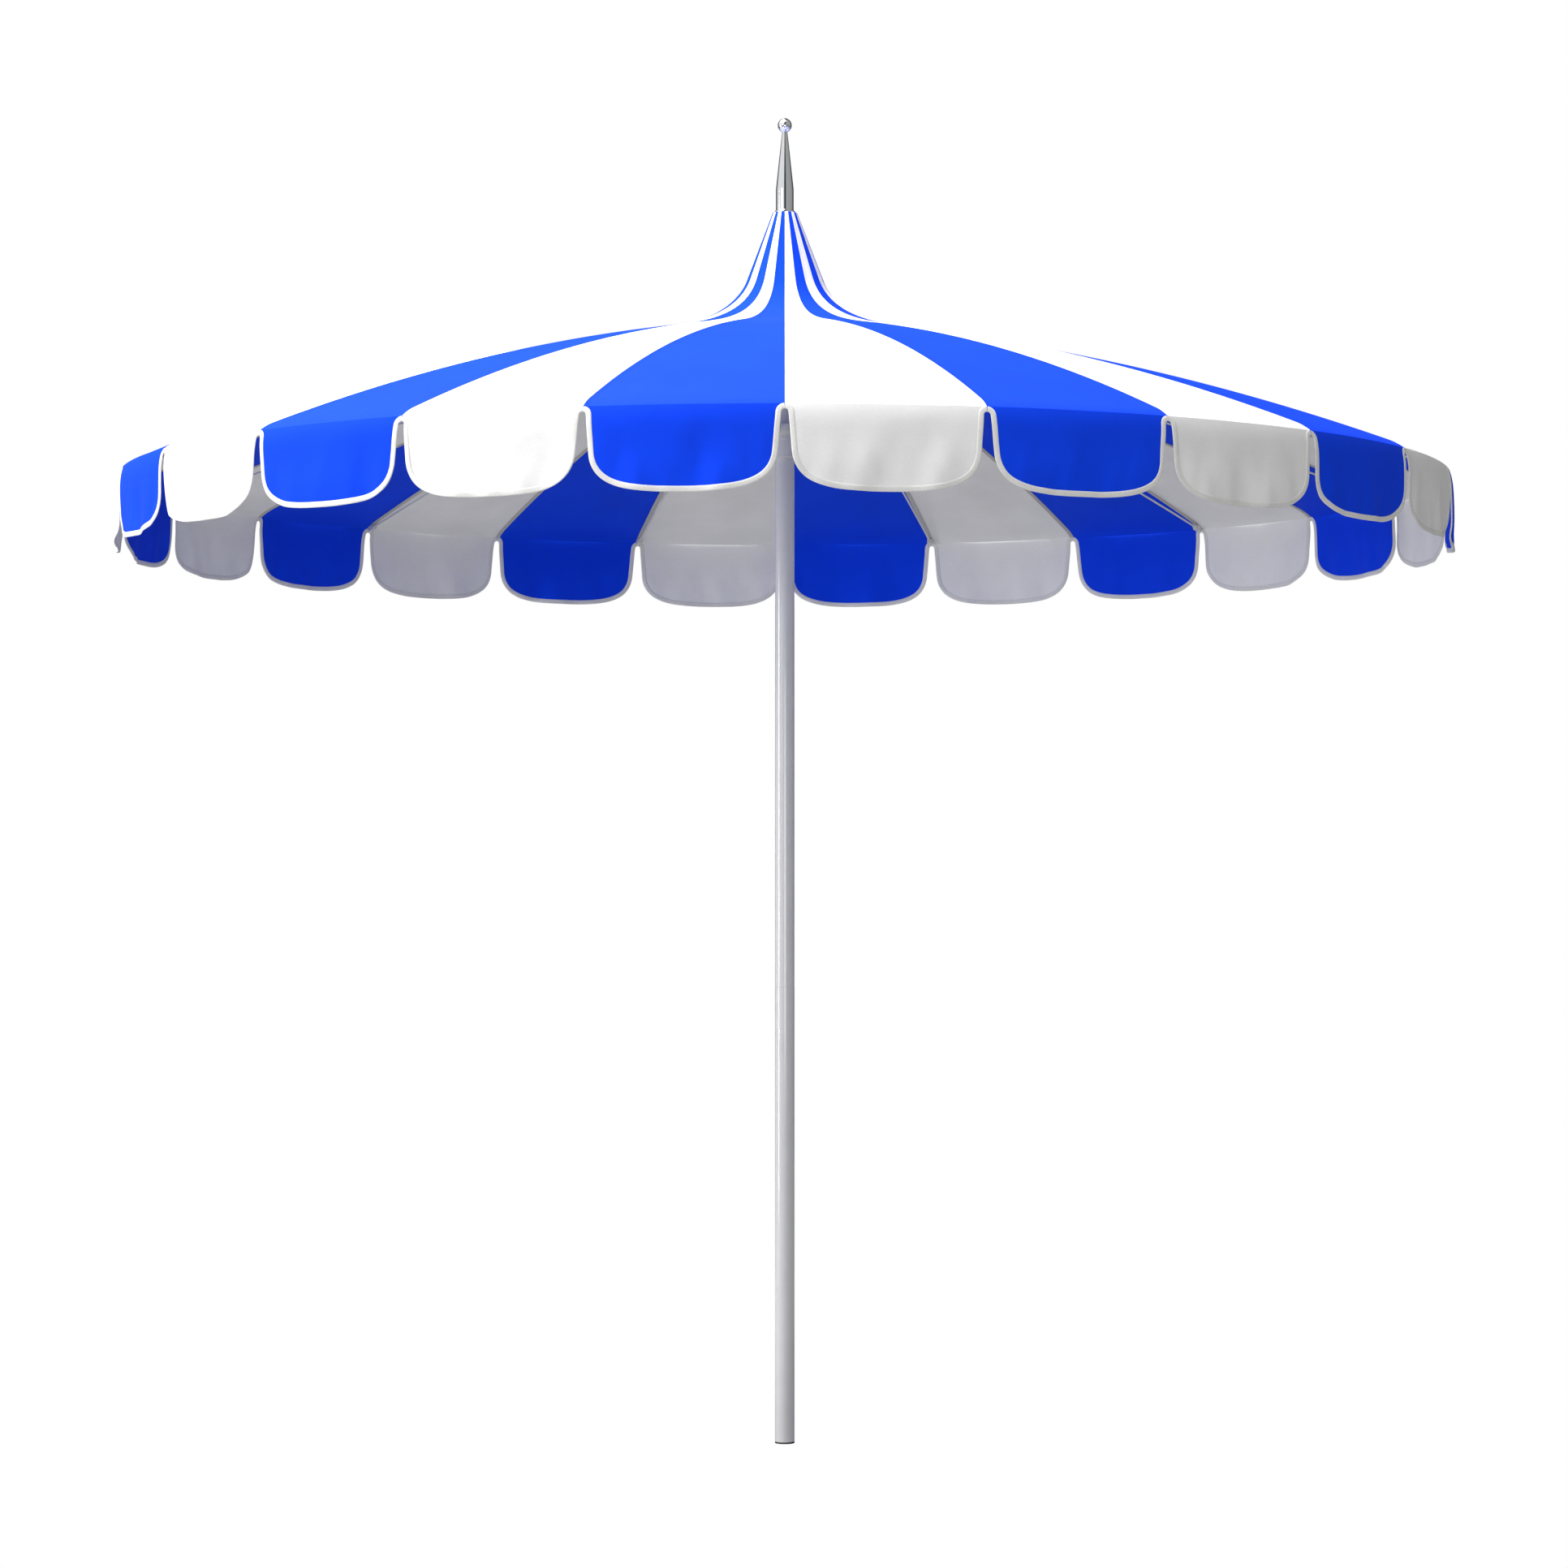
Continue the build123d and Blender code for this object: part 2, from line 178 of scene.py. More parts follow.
def make_lights():
    world = bpy.data.worlds.new("studio")
    bpy.context.scene.world = world
    world.use_nodes = True
    tree = world.node_tree
    sky = tree.nodes["Background"]
    sky.inputs["Color"].default_value = (1.0, 1.0, 1.0, 1)
    strength = tree.nodes.new("ShaderNodeMapRange")
    strength.inputs["To Max"].default_value = 1.0
    tree.links.new(room_light(tree), strength.inputs["To Min"])
    tree.links.new(seen_directly(tree), strength.inputs["Value"])
    tree.links.new(strength.outputs["Result"], sky.inputs["Strength"])
    area_light("top_softbox", (-1.5, -0.7, 5.6), (0, 0, 2.0), (4.6, 4.2), 430)
    area_light("front_left", (-4.2, -5.5, 2.9), (0, 0, 1.9), (2.4, 2.4), 24)
    area_light("low_fill", (0.6, -9.0, 1.2), (0, 0, 1.6), (3.0, 1.6), 84)
    area_light("pole_strip", (-5.7, -1.5, 1.65), (0, 0, 1.2), (0.35, 3.2), 150)
    bpy.context.scene.view_settings.view_transform = "Standard"
    bpy.context.scene.view_settings.look = "None"


def make_floor():
    mesh = bpy.data.meshes.new("floor")
    half = 30.0
    mesh.from_pydata(
        [(-half, -half, 0), (half, -half, 0), (half, half, 0), (-half, half, 0)],
        [],
        [(0, 1, 2, 3)],
    )
    floor = bpy.data.objects.new("floor", mesh)
    bpy.context.scene.collection.objects.link(floor)
    floor.data.materials.append(floor_material())


def floor_material():
    """A pale floor that shows as plain white and sends back a softer light."""
    n = Nodes("floor_pale")
    n.set(Base_Color=(FLOOR_BOUNCE,) * 3, Roughness=0.9)
    white = n.add("ShaderNodeEmission")
    blend = n.add("ShaderNodeMixShader")
    n.link(seen_directly(n.tree), blend.inputs[0])
    n.link(n.shader.outputs[0], blend.inputs[1])
    n.link(white.outputs[0], blend.inputs[2])
    n.link(blend.outputs[0], n.tree.nodes["Material Output"].inputs["Surface"])
    return n.material


# ---------------------------------------------------------------- node helpers
class Nodes:
    """Short calls for building one material's node tree."""

    def __init__(self, name):
        self.material = bpy.data.materials.new(name)
        self.material.use_nodes = True
        self.tree = self.material.node_tree
        self.shader = self.tree.nodes["Principled BSDF"]

    def add(self, kind, **settings):
        node = self.tree.nodes.new(kind)
        for key, value in settings.items():
            setattr(node, key, value)
        return node

    def link(self, output, target):
        self.tree.links.new(output, target)

    def math(self, operation, a, b=None):
        node = self.add("ShaderNodeMath", operation=operation)
        for slot, value in enumerate((a, b)):
            if value is None:
                continue
            if isinstance(value, (int, float)):
                node.inputs[slot].default_value = value
            else:
                self.link(value, node.inputs[slot])
        return node.outputs[0]

    def uv(self, name):
        node = self.add("ShaderNodeUVMap", uv_map=name)
        split = self.add("ShaderNodeSeparateXYZ")
        self.link(node.outputs[0], split.inputs[0])
        return node.outputs[0], split.outputs[0], split.outputs[1]

    def place(self):
        return self.add("ShaderNodeTexCoord").outputs["Object"]

    def noise(self, vector, scale, detail=2.0, rough=0.5):
        node = self.add("ShaderNodeTexNoise")
        node.inputs["Scale"].default_value = scale
        node.inputs["Detail"].default_value = detail
        node.inputs["Roughness"].default_value = rough
        self.link(vector, node.inputs["Vector"])
        return node.outputs["Fac"]

    def ramp(self, fac, low, high, at=(0.3, 0.7)):
        node = self.add("ShaderNodeValToRGB")
        ends = node.color_ramp.elements
        ends[0].position, ends[1].position = at
        ends[0].color, ends[1].color = (*low, 1), (*high, 1)
        self.link(fac, node.inputs[0])
        return node.outputs[0]

    def mix(self, fac, a, b):
        node = self.add("ShaderNodeMix", data_type="RGBA")
        self.link(fac, node.inputs["Factor"])
        for socket, value in ((node.inputs[6], a), (node.inputs[7], b)):
            if isinstance(value, tuple):
                socket.default_value = (*value, 1)
            else:
                self.link(value, socket)
        return node.outputs[2]

    def bump(self, height, strength, distance, under=None):
        node = self.add("ShaderNodeBump")
        node.inputs["Strength"].default_value = strength
        node.inputs["Distance"].default_value = distance
        self.link(height, node.inputs["Height"])
        if under is not None:
            self.link(under, node.inputs["Normal"])
        return node.outputs[0]

    def set(self, **values):
        for key, value in values.items():
            socket = self.shader.inputs[key.replace("_", " ")]
            if isinstance(value, tuple):
                socket.default_value = (*value, 1)
            elif isinstance(value, (int, float)):
                socket.default_value = value
            else:
                self.link(value, socket)
        return self.material


def shade(colour, factor):
    return tuple(min(1.0, c * factor) for c in colour)


# ---------------------------------------------------------------- materials
THREAD = 0.0009  # pitch of the canvas threads
STITCH_LENGTH = 0.0032
STITCH_FROM_SEAM = 0.0042
STITCH_HALF_WIDTH = 0.0005
STITCH_SHARE = 0.7  # of its length that is thread
TAPE_RIB = 0.0011  # pitch of the binding tape's cross ribs
TURNING_MARK = 0.0007  # pitch of the marks on the chrome


def canvas(name, colour):
    """Plain-woven canvas: two thread directions, slubs, soft creases and seam stitches."""
    n = Nodes(name)
    cloth, across, along = n.uv("cloth")
    warp = n.math("SINE", n.math("MULTIPLY", across, 2 * math.pi / THREAD))
    weft = n.math("SINE", n.math("MULTIPLY", along, 2 * math.pi / THREAD))
    weave = n.math("MULTIPLY", warp, weft)
    slub = n.noise(cloth, 260.0, 3.0, 0.6)
    patch = n.noise(cloth, 7.0, 4.0, 0.55)
    body = n.ramp(patch, shade(colour, 0.93), shade(colour, 1.04))
    fleck = n.ramp(slub, shade(colour, 0.86), shade(colour, 1.06))
    half = n.math("MULTIPLY", slub, 0.5)
    tone = n.mix(half, body, fleck)
    creases = n.noise(cloth, 16.0, 2.0, 0.4)
    normal = n.bump(weave, 0.25, 0.00025)
    normal = n.bump(slub, 0.2, 0.0004, normal)
    normal = n.bump(creases, 0.22, 0.004, normal)
    _, from_seam, down = n.uv("seam")
    off_line = n.math("ABSOLUTE", n.math("SUBTRACT", from_seam, STITCH_FROM_SEAM))
    on_line = n.math("LESS_THAN", off_line, STITCH_HALF_WIDTH)
    along_stitch = n.math("FRACT", n.math("DIVIDE", down, STITCH_LENGTH))
    dash = n.math("LESS_THAN", along_stitch, STITCH_SHARE)
    stitch = n.math("MULTIPLY", on_line, dash)
    tone = n.mix(stitch, tone, shade(colour, 0.72))
    normal = n.bump(stitch, 0.5, 0.0006, normal)
    material = n.set(Base_Color=tone, Roughness=0.82, Normal=normal)
    n.set(Specular_IOR_Level=0.08, Sheen_Weight=0.01, Sheen_Roughness=0.5)
    return material


def webbing(name, colour):
    """Ribbed binding tape, with fine cross ribs."""
    n = Nodes(name)
    cloth, across, along = n.uv("cloth")
    ribs = n.math("SINE", n.math("MULTIPLY", along, 2 * math.pi / TAPE_RIB))
    fuzz = n.noise(cloth, 300.0, 3.0, 0.6)
    tone = n.ramp(fuzz, shade(colour, 0.9), shade(colour, 1.03))
    normal = n.bump(ribs, 0.35, 0.0003)
    normal = n.bump(fuzz, 0.2, 0.0004, normal)
    material = n.set(Base_Color=tone, Roughness=0.75, Normal=normal)
    n.set(Specular_IOR_Level=0.3)
    return material


def powder_coat(name, colour, roughness=0.16):
    """Baked gloss paint with a faint orange-peel and slight scuffing."""
    n = Nodes(name)
    place = n.place()
    peel = n.noise(place, 420.0, 2.0, 0.5)
    scuff = n.noise(place, 22.0, 5.0, 0.6)
    tone = n.ramp(scuff, shade(colour, 0.97), shade(colour, 1.01))
    gloss = n.ramp(scuff, (roughness * 0.8,) * 3, (roughness * 1.25,) * 3)
    normal = n.bump(peel, 0.08, 0.0006)
    material = n.set(Base_Color=tone, Roughness=gloss, Normal=normal)
    n.set(Coat_Weight=0.4, Coat_Roughness=0.08)
    return material


def chrome(name):
    """Polished plating with very fine turning marks."""
    n = Nodes(name)
    place = n.place()
    split = n.add("ShaderNodeSeparateXYZ")
    n.link(place, split.inputs[0])
    rings = n.math("SINE", n.math("MULTIPLY", split.outputs[2], 2 * math.pi / TURNING_MARK))
    haze = n.noise(place, 60.0, 3.0, 0.5)
    gloss = n.ramp(haze, (0.05,) * 3, (0.11,) * 3)
    normal = n.bump(rings, 0.02, 0.0002)
    return n.set(Base_Color=(0.72, 0.73, 0.75), Metallic=1.0, Roughness=gloss, Normal=normal)


def moulded(name, colour, roughness=0.45):
    """Moulded plastic with a fine spark-eroded grain."""
    n = Nodes(name)
    place = n.place()
    grain = n.noise(place, 900.0, 2.0, 0.5)
    tone = n.ramp(n.noise(place, 35.0, 3.0), shade(colour, 0.94), shade(colour, 1.03))
    normal = n.bump(grain, 0.15, 0.0003)
    return n.set(Base_Color=tone, Roughness=roughness, Normal=normal)


def plated_steel(name):
    n = Nodes(name)
    streak = n.noise(n.place(), 120.0, 4.0, 0.6)
    tone = n.ramp(streak, (0.42, 0.42, 0.43), (0.58, 0.58, 0.6))
    return n.set(Base_Color=tone, Metallic=1.0, Roughness=0.35)


BLUE, WHITE = (0.003, 0.056, 0.86), (0.87, 0.866, 0.868)
blue_canvas = canvas("canvas_blue", BLUE)
white_canvas = canvas("canvas_white", WHITE)
binding_tape = webbing("tape_binding", (0.80, 0.80, 0.78))
seam_tape = webbing("tape_seam", (0.56, 0.55, 0.53))
CLOTHS = [white_canvas, blue_canvas]
WHITE_FACE, BLUE_FACE = 0, 1


def dress_cad_nodes():
    """Give each CAD part that stays visible its finish."""
    paint = powder_coat("paint_white", (0.70, 0.70, 0.70))
    rod = powder_coat("paint_rod", (0.68, 0.68, 0.66), 0.38)
    plastic = moulded("plastic_white", (0.74, 0.74, 0.74))
    dark = moulded("plastic_dark", (0.035, 0.035, 0.04), 0.5)
    plating, steel = chrome("chrome_finial"), plated_steel("steel_sleeve")
    finishes = {
        "lower_pole": paint,
        "upper_pole": paint,
        "foot_plug": dark,
        "lock_knob": dark,
        "pole_sleeve": steel,
        "finial_spire": plating,
        "finial_ball": plating,
        "crown_hub": plastic,
        "canopy_collar": plastic,
        "runner_hub": plastic,
        "runner_grip": plastic,
    }
    for node, obj in frame["nodes"].items():
        finish = finishes.get(node, rod)
        for slot in obj.material_slots:
            slot.material = finish


# ---------------------------------------------------------------- cloth shape
def bezier(a, b, c, d, t):
    a, b, c, d = (np.array(p)[:, None] for p in (a, b, c, d))
    return (1 - t) ** 3 * a + 3 * (1 - t) ** 2 * t * b + 3 * (1 - t) * t**2 * c + t**3 * d


def canopy_profile():
    """(r, z) down the canopy from the collar to the fold, at about even steps."""
    steep = math.atan2(NECK_TOP[1] - NECK_BASE[1], NECK_BASE[0] - NECK_TOP[0])
    slope = math.asin((BEND_END_R - DOME_CENTRE[0]) / DOME_RADIUS)
    end = (BEND_END_R, dome_z(BEND_END_R))
    upper, lower = BEND_HANDLES
    out_of_neck = (NECK_BASE[0] + upper * math.cos(steep), NECK_BASE[1] - upper * math.sin(steep))
    into_dome = (end[0] - lower * math.cos(slope), end[1] + lower * math.sin(slope))
    neck = np.linspace(NECK_TOP, NECK_BASE, 24)[:-1].T
    bend = bezier(NECK_BASE, out_of_neck, into_dome, end, np.linspace(0, 1, 60))[:, :-1]
    r = np.linspace(BEND_END_R, FOLD_R, 110)
    dome = np.array([r, edge_z(r)])
    return np.concatenate([neck, bend, dome], axis=1)


def dome_z(r):
    return DOME_CENTRE[1] + np.sqrt(DOME_RADIUS**2 - (r - DOME_CENTRE[0]) ** 2)


def edge_z(r):
    """The dome with its rolled edge."""
    rolled = np.clip((r - (FOLD_R - ROLL_WIDTH)) / ROLL_WIDTH, 0, 1)
    return dome_z(r) - ROLL_DROP * rolled**2


def swirl(r, z, angle):
    """World points from radius, height and angle."""
    return np.stack([r * np.sin(angle), -r * np.cos(angle), z], axis=-1)


def smooth_step(x):
    x = np.clip(x, 0, 1)
    return x * x * (3 - 2 * x)


def relief(r, along, angle):
    """How far the cloth lies off the smooth dome: it dips between seams and puckers beside them."""
    neck_end, fade_in = 0.15, 0.5
    dip_depth, seam_height, seam_half = 0.0030, 0.0006, 0.0045
    pucker_height, pucker_length, pucker_reach = 0.0005, 0.043, 0.02
    tension_height, tension_length = 0.0009, 0.31
    across = np.mod(angle, GORE)
    to_seam = np.minimum(across, GORE - across) * r
    width = GORE * r
    middle = np.clip(to_seam / (width / 2), 0, 1)
    spread = smooth_step((r - neck_end) / fade_in)
    dip = -dip_depth * spread * (1 - (1 - middle) ** 2)
    seam = seam_height * np.exp(-((to_seam / seam_half) ** 4))
    gore = np.floor(angle / GORE + 1e-6)
    pucker = pucker_height * np.sin(along * 2 * math.pi / pucker_length + 1.7 * gore)
    pucker = pucker * np.exp(-to_seam / pucker_reach)
    tension = tension_height * spread
    tension = tension * np.sin(along * 2 * math.pi / tension_length + 2.1 * gore) * middle
    return dip + seam + (pucker * spread + tension) * np.sin(math.pi * middle)


def closed_edge_angle(r, z):
    """The angle from a rib at which its cloth meets the plane midway to the next rib, when shut."""
    half = math.sin(GORE)
    a, b = r * math.cos(GORE), half * FOLD_COS * r
    start_r = PIVOT_R * (1 - FOLD_COS)
    start_z = CROWN_Z - PIVOT_R * FOLD_SIN
    c = half * (FOLD_SIN * (z - start_z) - FOLD_COS * start_r) - PLEAT_GAP
    size = np.hypot(a, b)
    return np.arctan2(b, a) + np.arcsin(np.clip(c / size, -1, 1))


# ---------------------------------------------------------------- mesh building
class Patch:
    """A mesh put together from grids of points, with cloth coordinates and a material each."""

    def __init__(self):
        self.points, self.faces, self.kinds = [], [], []
        self.cloth, self.seam = [], []
        self.count = 0

    def add_points(self, points, cloth, seam):
        start = self.count
        self.points.append(points.reshape(-1, 3))
        self.cloth.append(cloth.reshape(-1, 2))
        self.seam.append(seam.reshape(-1, 2))
        self.count += self.points[-1].shape[0]
        return start

    def grid(self, points, cloth, seam, kind, flip=False):
        """Faces over a rows by columns grid; returns the index of every point."""
        rows, cols = points.shape[:2]
        ids = self.add_points(points, cloth, seam) + np.arange(rows * cols).reshape(rows, cols)
        a, b, c, d = ids[:-1, :-1], ids[:-1, 1:], ids[1:, 1:], ids[1:, :-1]
        order = (a, d, c, b) if flip else (a, b, c, d)
        quads = np.stack(order, axis=-1).reshape(-1, 4)
        self.faces.append(quads)
        self.kinds.append(np.full(len(quads), kind))
        return ids

    def wall(self, first, second, kind, flip):
        """Faces between two lines of points that are already there."""
        order = (first[:-1], first[1:], second[1:], second[:-1])
        if flip:
            order = order[::-1]
        quads = np.stack(order, axis=-1)
        self.faces.append(quads)
        self.kinds.append(np.full(len(quads), kind))

    def shell(self, points, cloth, seam, kind):
        """A closed sheet: the grid, the same grid set back along its normals, and the rim."""
        front = self.grid(points, cloth, seam, kind)
        set_back = points - CLOTH * grid_normals(points)
        back = self.grid(set_back, cloth, seam, kind, flip=True)
        for side in (0, -1):
            first = side == 0
            self.wall(front[side, :], back[side, :], kind, first)
            self.wall(front[:, side], back[:, side], kind, not first)

    def make(self, name, materials, sharp=50):
        mesh = bpy.data.meshes.new(name)
        points = np.concatenate(self.points)
        faces = np.concatenate(self.faces)
        mesh.from_pydata(points.tolist(), [], faces.tolist())
        for label, values in (("cloth", self.cloth), ("seam", self.seam)):
            values = np.concatenate(values)
            layer = mesh.uv_layers.new(name=label)
            corner = np.zeros(len(mesh.loops), int)
            mesh.loops.foreach_get("vertex_index", corner)
            layer.data.foreach_set("uv", values[corner].astype(np.float32).ravel())
        for material in materials:
            mesh.materials.append(material)
        mesh.polygons.foreach_set("material_index", np.concatenate(self.kinds).astype(np.int32))
        mesh.polygons.foreach_set("use_smooth", np.ones(len(mesh.polygons), bool))
        mesh.update()
        mesh.set_sharp_from_angle(angle=math.radians(sharp))
        obj = bpy.data.objects.new(name, mesh)
        bpy.context.scene.collection.objects.link(obj)
        return obj


def grid_normals(points):
    down = np.gradient(points, axis=0)
    across = np.gradient(points, axis=1)
    normal = np.cross(across, down)
    size = np.linalg.norm(normal, axis=-1, keepdims=True)
    return -normal / np.maximum(size, 1e-12)


def grid_area(points):
    a, b = points[1:, :-1] - points[:-1, :-1], points[:-1, 1:] - points[:-1, :-1]
    c, d = points[1:, :-1] - points[1:, 1:], points[:-1, 1:] - points[1:, 1:]
    first = np.linalg.norm(np.cross(a, b), axis=-1)
    second = np.linalg.norm(np.cross(c, d), axis=-1)
    return float((first + second).sum() / 2)


# ---------------------------------------------------------------- canopy
profile_r, profile_z = canopy_profile()
profile_along = np.concatenate(
    [[0], np.cumsum(np.hypot(np.diff(profile_r), np.diff(profile_z)))]
)
split_row = int(np.argmin(np.abs(profile_r - RIB_CLOTH_R)))


def cloth_grid(rows, angles):
    """Points, cloth coordinates and seam coordinates over some rows; angles is rows by columns."""
    r = profile_r[rows][:, None] + 0 * angles
    z = profile_z[rows][:, None] + 0 * angles
    along = profile_along[rows][:, None] + 0 * angles
    slope_r, slope_z = np.gradient(profile_r)[rows], np.gradient(profile_z)[rows]
    size = np.hypot(slope_r, slope_z)
    off = relief(r, along, angles)
    out_r, out_z = (-slope_z / size)[:, None] * off, (slope_r / size)[:, None] * off
    points = swirl(r + out_r, z + out_z, angles)
    across = np.mod(angles, GORE)
    to_seam = np.minimum(across, GORE - across) * r
    cloth = np.stack([(across - GORE / 2) * r, along], axis=-1)
    return points, cloth, np.stack([to_seam, along], axis=-1)


def spaced_angles(start, end, rows, fine_at_end):
    """Columns from one angle to another on each row, with close ones beside the seam."""
    share = np.linspace(0, 1, 15)
    start, end = np.broadcast_to(start, len(rows)), np.broadcast_to(end, len(rows))
    grid = start[:, None] + (end - start)[:, None] * share[None, :]
    close = np.array([0.0026, 0.0052, 0.0080])
    wide_enough = 0.0105
    span = np.abs(end - start) * profile_r[rows]
    sign = np.sign(end - start + 1e-12)
    steps = np.minimum(close[None, :], 0.9 * span[:, None] * close[None, :] / wide_enough)
    steps = steps / profile_r[rows][:, None] * sign[:, None]
    extra = end[:, None] - steps if fine_at_end else start[:, None] + steps
    return np.sort(np.concatenate([grid, extra], axis=1), axis=1)


def inside(angles, shift):
    """Angles turned so that none falls just over a seam by rounding."""
    return angles + shift * 1e-7


def make_tape(name, rows, seam_angle, low, high):
    """A strip of seam tape under the cloth, from low to high metres beside a seam."""
    r = profile_r[rows][:, None]
    rim, shallow, deep, sunk = 0.0006, 0.0006, 0.0019, 0.0004
    side = np.array([[low, low + rim, high - rim, high]])
    depth = np.array([[shallow, deep, deep, shallow]]) + CLOTH - sunk
    angles = seam_angle + side / r
    points, cloth, seam = cloth_grid(rows, inside(angles, 0))
    slope_r, slope_z = np.gradient(profile_r)[rows], np.gradient(profile_z)[rows]
    size = np.hypot(slope_r, slope_z)[:, None]
    in_r, in_z = (slope_z[:, None] / size) * depth, (-slope_r[:, None] / size) * depth
    off = np.stack([in_r * np.sin(angles), -in_r * np.cos(angles), in_z], axis=-1)
    patch = Patch()
    patch.grid(points + off, cloth, seam, 0, flip=True)
    return patch.make(name, [seam_tape])


def make_canopy():
    """For each rib: the cloth over it, a pleat on either side, and its share of the neck."""
    dome_rows = np.arange(split_row, len(profile_r))
    neck_rows = np.arange(0, split_row + 1)
    limit = GORE - math.radians(0.15)
    edge = np.minimum(closed_edge_angle(profile_r, profile_z), limit)[dome_rows]
    for i in range(RIBS):
        number = f"{i + 1:02d}"
        angle = FIRST_RIB + i * 2 * GORE
        make_rib_strip(number, angle, edge, dome_rows)
        for side in (-1, 1):
            make_pleat(number, angle, side, edge, dome_rows)
        make_neck(number, angle, neck_rows)


def make_rib_strip(number, angle, edge, rows):
    patch, area = Patch(), 0
    for side, kind in ((-1, WHITE_FACE), (1, BLUE_FACE)):
        share = np.linspace(0, 1, 7)[None, :]
        angles = np.sort(angle + side * edge[:, None] * share, axis=1)
        points, cloth, seam = cloth_grid(rows, inside(angles, side))
        patch.shell(points, cloth, seam, kind)
        area += grid_area(points)
    strip = patch.make(f"rib_cloth_{number}", CLOTHS)
    tape = make_tape(f"rib_tape_{number}", rows, angle, -SEAM_TAPE_HALF, SEAM_TAPE_HALF)
    for obj in (strip, tape):
        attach(obj, f"rib_{number}")
    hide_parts(f"canopy_sector_{number}")


def make_pleat(number, angle, side, edge, rows):
    kind = BLUE_FACE if side > 0 else WHITE_FACE
    start, end = angle + side * edge, angle + side * GORE
    angles = spaced_angles(start, end, rows, fine_at_end=True)
    patch = Patch()
    points, cloth, seam = cloth_grid(rows, inside(angles, -side))
    patch.shell(points, cloth, seam, kind)
    colour = "blue" if side > 0 else "white"
    pleat = patch.make(f"gore_{colour}_{number}", CLOTHS)
    low, high = (-SEAM_TAPE_HALF, 0.0) if side > 0 else (0.0, SEAM_TAPE_HALF)
    tape = make_tape(f"gore_tape_{colour}_{number}", rows, end, low, high)
    for obj in (pleat, tape):
        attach(obj, f"rib_{number}")
        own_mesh(obj)
    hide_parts(f"canopy_sector_{number}")


def make_neck(number, angle, rows):
    patch, area = Patch(), 0
    for side, kind in ((-1, WHITE_FACE), (1, BLUE_FACE)):
        share = np.linspace(0, 1, 7)[None, :]
        angles = np.sort(angle + side * GORE * share, axis=1) + 0 * profile_r[rows][:, None]
        points, cloth, seam = cloth_grid(rows, inside(angles, 0))
        patch.shell(points, cloth, seam, kind)
        area += grid_area(points)
    neck = patch.make(f"neck_cloth_{number}", CLOTHS)
    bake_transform(neck)
    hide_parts("canopy_neck")


# ---------------------------------------------------------------- valance
HALF = EDGE_R * GORE / 2


def scallop_outline():
    """(x, z) round one scallop, from the notch on its left to the notch on its right."""
    side = HALF - NOTCH_HALF
    cap_z = NOTCH_TOP - NOTCH_HALF
    shoulder = (side - SCALLOP_FLARE, SCALLOP_BOTTOM + SCALLOP_CORNER)
    turn = np.linspace(0, math.pi / 2, 8)[:-1]
    cap = np.array([HALF - NOTCH_HALF * np.sin(turn), cap_z + NOTCH_HALF * np.cos(turn)])
    straight = np.linspace((side, cap_z), shoulder, 12)[:-1].T
    corner = bezier(
        shoulder,
        (shoulder[0] - 0.003, SCALLOP_BOTTOM + 0.005),
        (shoulder[0] - SCALLOP_CORNER, SCALLOP_BOTTOM),
        (0.0, SCALLOP_BOTTOM),
        np.linspace(0, 1, 34) ** 0.9,
    )
    right = np.concatenate([cap, straight, corner], axis=1)
    left = right[:, :-1] * np.array([[-1], [1]])
    return np.concatenate([left, right[:, ::-1]], axis=1)


def scallop_waves(seed):
    """The soft folds of one scallop, as a function of (x, z)."""
    draw = np.random.RandomState(seed)
    phases = draw.uniform(0, 2 * math.pi, 6)
    lengths = draw.uniform(0.85, 1.2, 6) * np.array([0.21, 0.115, 0.07, 0.045, 0.028, 0.16])
    leans = draw.uniform(-0.5, 0.5, 6)
    sizes = np.array([0.0026, 0.0018, 0.0010, 0.0004, 0.00015, 0.0014])
    curl = draw.uniform(-0.0015, 0.0020, 2)

    def wave(x, z):
        down = smooth_step((NOTCH_TOP - z) / 0.12)
        total = 0 * x
        for k in range(5):
            total = total + sizes[k] * np.sin(
                2 * math.pi * (x + leans[k] * (z - NOTCH_TOP)) / lengths[k] + phases[k]
            )
        total = total + sizes[5] * np.sin(2 * math.pi * z / lengths[5] + phases[5])
        right, left = np.clip(x / HALF, 0, 1), np.clip(-x / HALF, 0, 1)
        corners = curl[0] * right**3 + curl[1] * left**3
        return down * (total + corners)

    return wave


def hang(x, z, height, centre, wave):
    """World points of the valance from distance round the edge, height and offset."""
    fallen = np.clip((edge_z(FOLD_R) - z) / FLARE_HEIGHT, 0, 1)
    r = EDGE_R - (EDGE_R - FOLD_R) * (1 - fallen) ** FLARE_POWER
    return swirl(r + wave(x, z) + height, z, centre + x / EDGE_R)


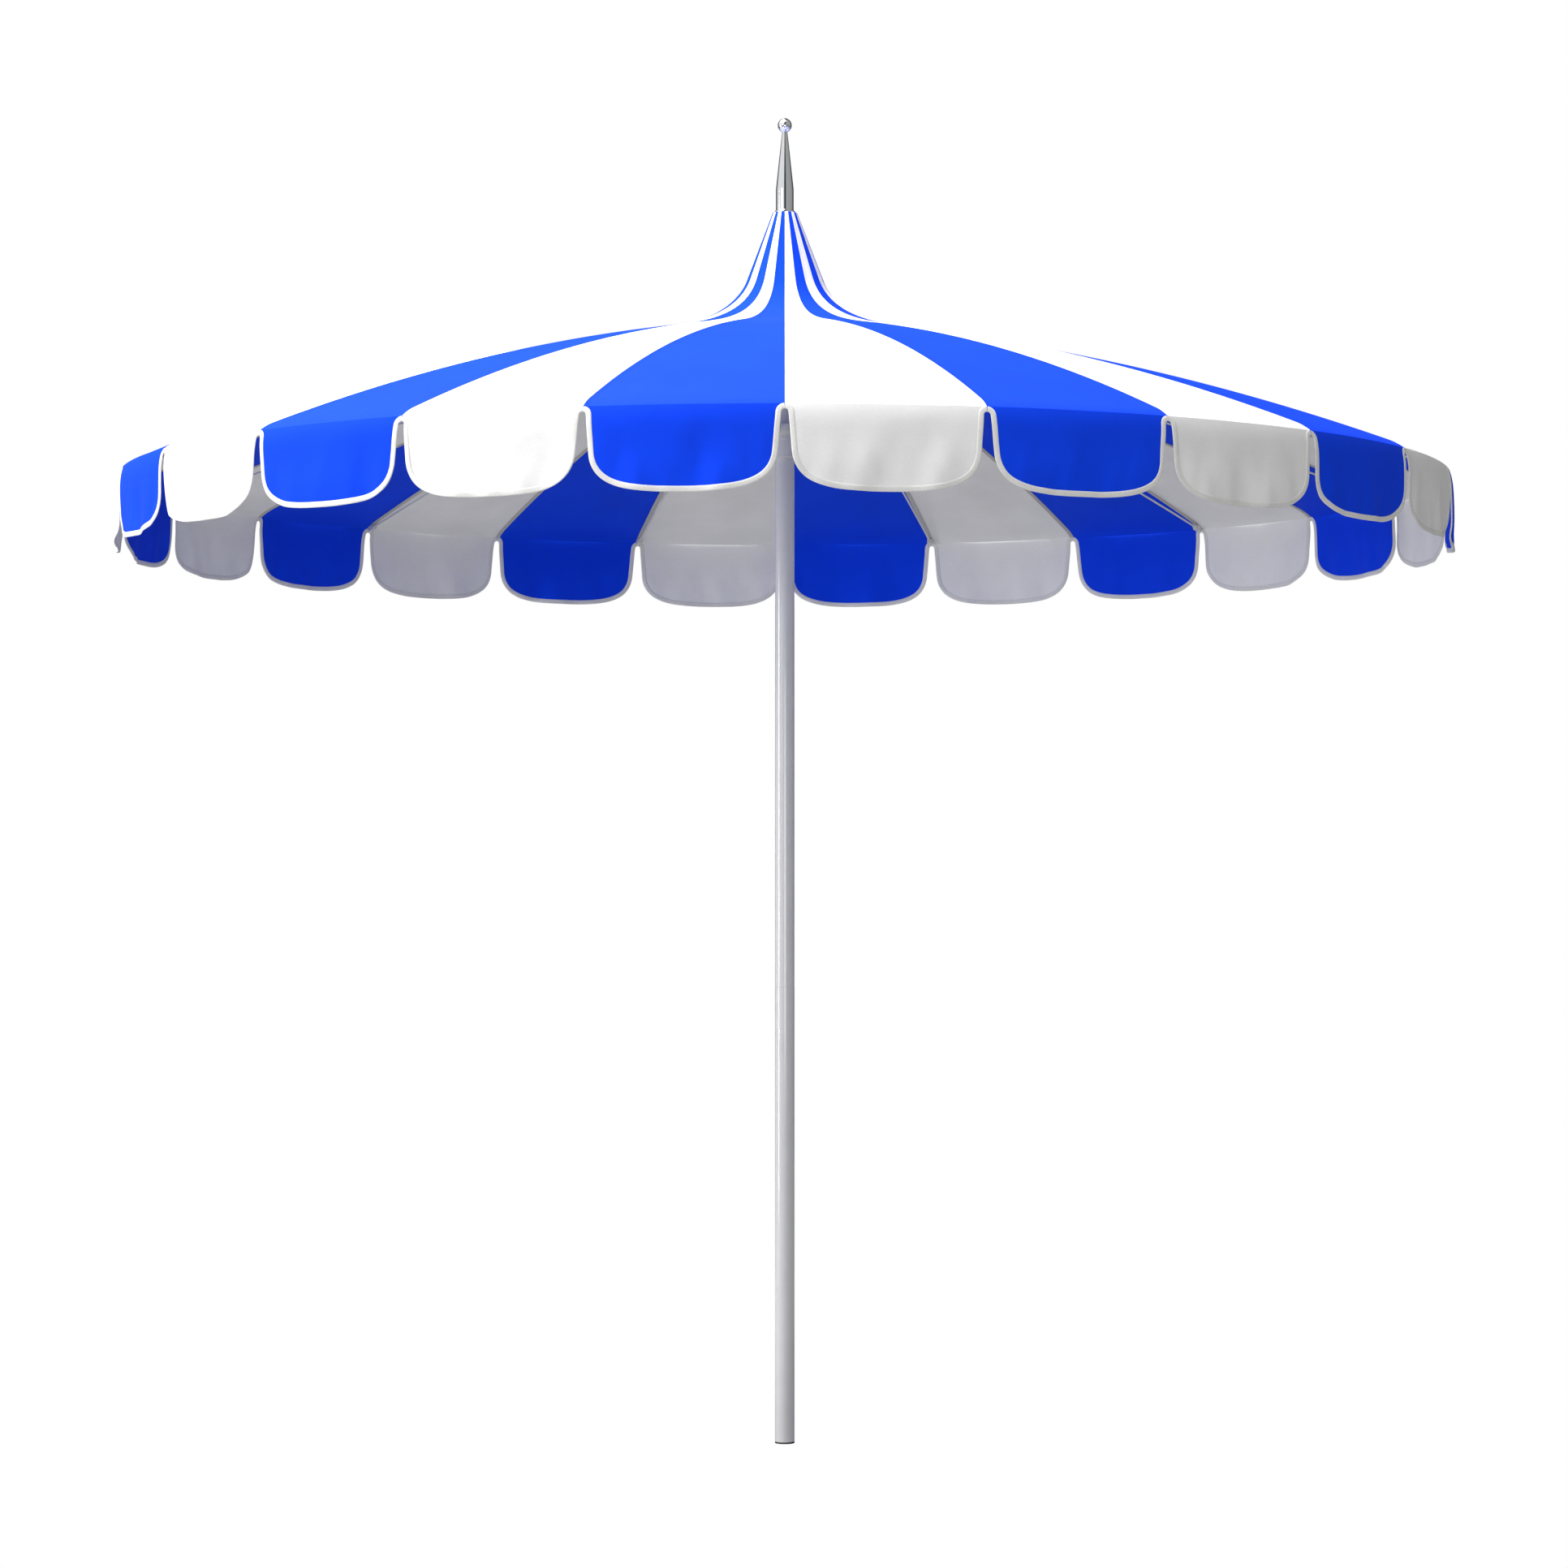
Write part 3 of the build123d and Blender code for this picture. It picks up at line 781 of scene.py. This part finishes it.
def make_scallop(number, centre, colour, kind, seed):
    outline_x, outline_z = scallop_outline()
    wave = scallop_waves(seed)
    start_z = edge_z(FOLD_R)
    share = (np.linspace(0, 1, 30) ** 1.5)[:, None]
    z = start_z + (outline_z[None, :] - start_z) * share
    points = hang(outline_x[None, :] + 0 * share, z, 0.0, centre, wave)
    down = start_z - z
    across = np.broadcast_to(outline_x, down.shape)
    cloth = np.stack([across, down + profile_along[-1]], axis=-1)
    seam = np.stack([HALF - np.abs(across) + 0.02, down], axis=-1)
    patch = Patch()
    patch.shell(points, cloth, seam, kind)
    piece = patch.make(f"scallop_{colour}_{number}", CLOTHS)
    binding = make_binding(f"binding_{colour}_{number}", centre, wave)
    for obj in (piece, binding):
        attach(obj, f"valance_{number}")
        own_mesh(obj)
        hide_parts(f"valance_{number}")


def make_binding(name, centre, wave):
    """Folded tape sewn round a scallop's edge."""
    x, z = scallop_outline()
    step_x, step_z = np.gradient(x), np.gradient(z)
    size = np.hypot(step_x, step_z)
    in_x, in_z = -step_z / size, step_x / size
    thick = 0.0014
    section = [(-0.0012, 0.0), (-0.0007, 0.0010), (0.0008, thick), (0.0030, thick * 1.05)]
    section += [(BINDING - 0.0030, thick * 1.05), (BINDING - 0.0008, thick), (BINDING, 0.0004)]
    section += [(u, -h) for u, h in section[::-1] if h > 0]
    section.append(section[0])
    inward = np.array([u for u, _ in section])[None, :]
    height = np.array([h for _, h in section])[None, :] - CLOTH / 2
    px = x[:, None] + in_x[:, None] * inward
    pz = z[:, None] + in_z[:, None] * inward
    points = hang(px, pz, height, centre, wave)
    along = np.concatenate([[0], np.cumsum(np.hypot(np.diff(x), np.diff(z)))])[:, None]
    cloth = np.stack([inward + 0 * along, along + 0 * inward], axis=-1)
    patch = Patch()
    patch.grid(points, cloth, cloth, 0)
    return patch.make(name, [binding_tape], sharp=70)


def make_valance():
    for i in range(RIBS):
        number = f"{i + 1:02d}"
        angle = FIRST_RIB + i * 2 * GORE
        for side, colour, kind in ((-1, "white", WHITE_FACE), (1, "blue", BLUE_FACE)):
            centre = angle + side * GORE / 2
            make_scallop(number, centre, colour, kind, 100 + 2 * i + (side > 0))


# ---------------------------------------------------------------- put it together
make_camera()
make_lights()
make_floor()
dress_cad_nodes()
make_canopy()
make_valance()
